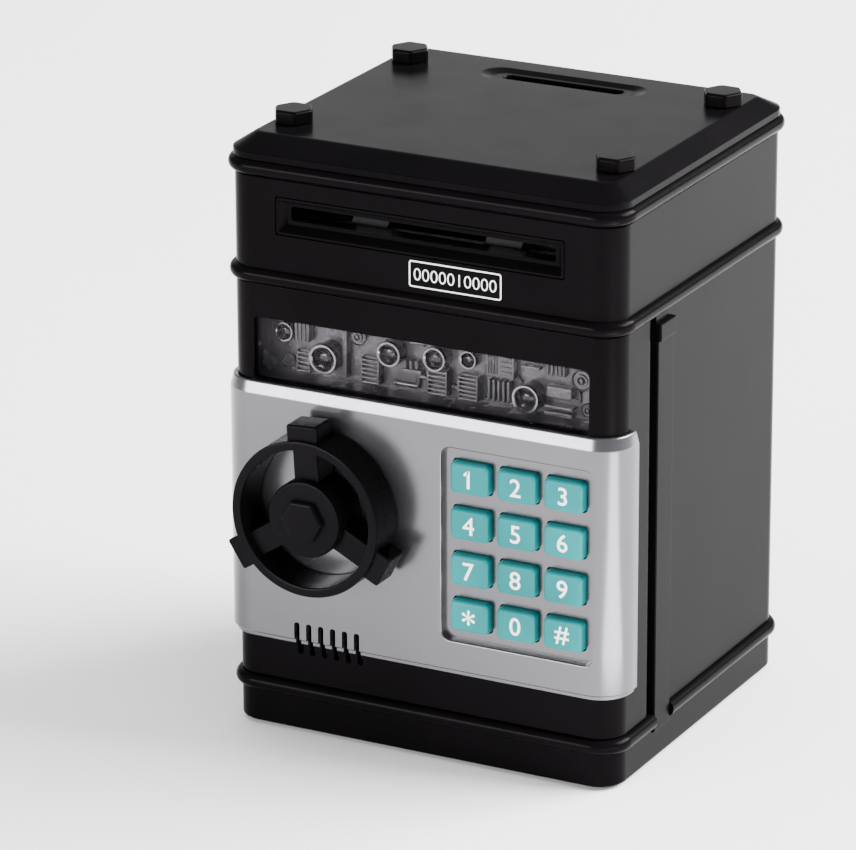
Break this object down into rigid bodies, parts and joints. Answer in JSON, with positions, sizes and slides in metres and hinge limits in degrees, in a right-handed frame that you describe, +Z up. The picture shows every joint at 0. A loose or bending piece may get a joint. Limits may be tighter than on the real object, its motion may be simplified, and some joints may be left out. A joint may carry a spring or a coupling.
{
  "type": "toy atm savings bank",
  "caption": "Box-shaped toy cash machine money box: hinged front door with keypad, vault wheel and window, bill slot with motor feed, coin slot in the lid.",
  "frame": {"origin": "on the table, under the middle of the overall box", "axes": "+Z up, the door faces -Y, +X to the right as seen from the front"},
  "size_m": [0.1336, 0.138, 0.1905],
  "materials": {
    "case_black": "glossy moulded black",
    "knob_black": "satin black",
    "inner_black": "matt",
    "door_silver": "fine metallic silver paint",
    "key_teal": "satin teal",
    "window_clear": "clear",
    "relief_metallic": "vacuum-metallised grey",
    "steel": "brushed",
    "brass": "satin",
    "soft_rubber": "matt",
    "gear_white": "matt acetal",
    "board_green": "solder resist",
    "cell_wrap": "plain printed wrap"
  },
  "bodies": {
    "case": {"base_tray": "case_black", "cash_floor": "inner_black", "battery_cover": "case_black", "battery_cover_screw": "steel", "battery_1": "cell_wrap", "battery_2": "cell_wrap", "battery_3": "cell_wrap", "battery_contact_left": "steel", "battery_contact_right": "steel", "foot_pad_1": "soft_rubber", "foot_pad_2": "soft_rubber", "foot_pad_3": "soft_rubber", "foot_pad_4": "soft_rubber", "rear_case": "case_black", "upper_housing": "case_black", "lid": "case_black", "lid_post_1": "case_black", "lid_post_2": "case_black", "lid_post_3": "case_black", "lid_post_4": "case_black", "bill_slot_bezel": "case_black", "feed_frame": "inner_black", "feed_motor": "steel", "main_board": "board_green", "hinge_pin_lower": "steel", "hinge_pin_upper": "steel"},
    "drive_roller": {"drive_roller_shaft": "steel", "drive_tyre_left": "soft_rubber", "drive_tyre_right": "soft_rubber", "drive_gear": "gear_white"},
    "pinch_roller": {"pinch_roller": "gear_white"},
    "motor_pinion": {"motor_pinion": "brass"},
    "door": {"door_frame": "case_black", "door_panel": "door_silver", "window_lens": "window_clear", "mechanism_relief": "relief_metallic", "door_back": "inner_black", "keypad_membrane": "soft_rubber", "keypad_board": "board_green", "speaker": "inner_black", "code_solenoid": "brass"},
    "knob": {"knob_wheel": "knob_black", "knob_bolt_cap": "knob_black", "knob_shaft": "steel", "lock_pinion": "brass"},
    "lock_bolt": {"lock_bolt": "steel"},
    "code_plunger": {"code_plunger": "steel"},
    "reset_button": {"reset_button": "inner_black"},
    "key_1": {"key_1": "key_teal"},
    "key_2": {"key_2": "key_teal"},
    "key_3": {"key_3": "key_teal"},
    "key_4": {"key_4": "key_teal"},
    "key_5": {"key_5": "key_teal"},
    "key_6": {"key_6": "key_teal"},
    "key_7": {"key_7": "key_teal"},
    "key_8": {"key_8": "key_teal"},
    "key_9": {"key_9": "key_teal"},
    "key_star": {"key_star": "key_teal"},
    "key_0": {"key_0": "key_teal"},
    "key_hash": {"key_hash": "key_teal"}
  },
  "joints": [
    {"name": "door_hinge", "type": "hinge", "parent": "case", "child": "door", "pos_m": [0.06, -0.02945, 0.079], "axis": [0, 0, 1], "range_deg": [0, 90]},
    {"name": "knob_turn", "type": "hinge", "parent": "door", "child": "knob", "pos_m": [-0.0304, -0.05995, 0.076], "axis": [0, -1, 0], "range_deg": [0, 90]},
    {"name": "bolt_slide", "type": "slide", "parent": "door", "child": "lock_bolt", "axis": [-1, 0, 0], "range_m": [0, 0.00786]},
    {"name": "plunger_slide", "type": "slide", "parent": "door", "child": "code_plunger", "axis": [0, 0, -1], "range_m": [0, 0.0021], "stiffness_N_per_m": 60},
    {"name": "reset_press", "type": "slide", "parent": "door", "child": "reset_button", "axis": [0, -1, 0], "range_m": [0, 0.001], "stiffness_N_per_m": 150},
    {"name": "drive_roller_spin", "type": "hinge", "parent": "case", "child": "drive_roller", "pos_m": [0, -0.03495, 0.1579], "axis": [1, 0, 0], "continuous": true},
    {"name": "pinch_roller_spin", "type": "hinge", "parent": "case", "child": "pinch_roller", "pos_m": [0, -0.03495, 0.1685], "axis": [1, 0, 0], "continuous": true},
    {"name": "motor_pinion_spin", "type": "hinge", "parent": "case", "child": "motor_pinion", "pos_m": [0.05, -0.01795, 0.1579], "axis": [1, 0, 0], "continuous": true},
    {"name": "key_1_press", "type": "slide", "parent": "door", "child": "key_1", "axis": [0, 1, 0], "range_m": [0, 0.0015], "stiffness_N_per_m": 120},
    {"name": "key_2_press", "type": "slide", "parent": "door", "child": "key_2", "axis": [0, 1, 0], "range_m": [0, 0.0015], "stiffness_N_per_m": 120},
    {"name": "key_3_press", "type": "slide", "parent": "door", "child": "key_3", "axis": [0, 1, 0], "range_m": [0, 0.0015], "stiffness_N_per_m": 120},
    {"name": "key_4_press", "type": "slide", "parent": "door", "child": "key_4", "axis": [0, 1, 0], "range_m": [0, 0.0015], "stiffness_N_per_m": 120},
    {"name": "key_5_press", "type": "slide", "parent": "door", "child": "key_5", "axis": [0, 1, 0], "range_m": [0, 0.0015], "stiffness_N_per_m": 120},
    {"name": "key_6_press", "type": "slide", "parent": "door", "child": "key_6", "axis": [0, 1, 0], "range_m": [0, 0.0015], "stiffness_N_per_m": 120},
    {"name": "key_7_press", "type": "slide", "parent": "door", "child": "key_7", "axis": [0, 1, 0], "range_m": [0, 0.0015], "stiffness_N_per_m": 120},
    {"name": "key_8_press", "type": "slide", "parent": "door", "child": "key_8", "axis": [0, 1, 0], "range_m": [0, 0.0015], "stiffness_N_per_m": 120},
    {"name": "key_9_press", "type": "slide", "parent": "door", "child": "key_9", "axis": [0, 1, 0], "range_m": [0, 0.0015], "stiffness_N_per_m": 120},
    {"name": "key_star_press", "type": "slide", "parent": "door", "child": "key_star", "axis": [0, 1, 0], "range_m": [0, 0.0015], "stiffness_N_per_m": 120},
    {"name": "key_0_press", "type": "slide", "parent": "door", "child": "key_0", "axis": [0, 1, 0], "range_m": [0, 0.0015], "stiffness_N_per_m": 120},
    {"name": "key_hash_press", "type": "slide", "parent": "door", "child": "key_hash", "axis": [0, 1, 0], "range_m": [0, 0.0015], "stiffness_N_per_m": 120}
  ],
  "couplings": [
    {"joint": "bolt_slide", "follows": "knob_turn", "m_per_rad": 0.005},
    {"joint": "pinch_roller_spin", "follows": "drive_roller_spin", "ratio": -1.5},
    {"joint": "motor_pinion_spin", "follows": "drive_roller_spin", "ratio": -2.4}
  ]
}
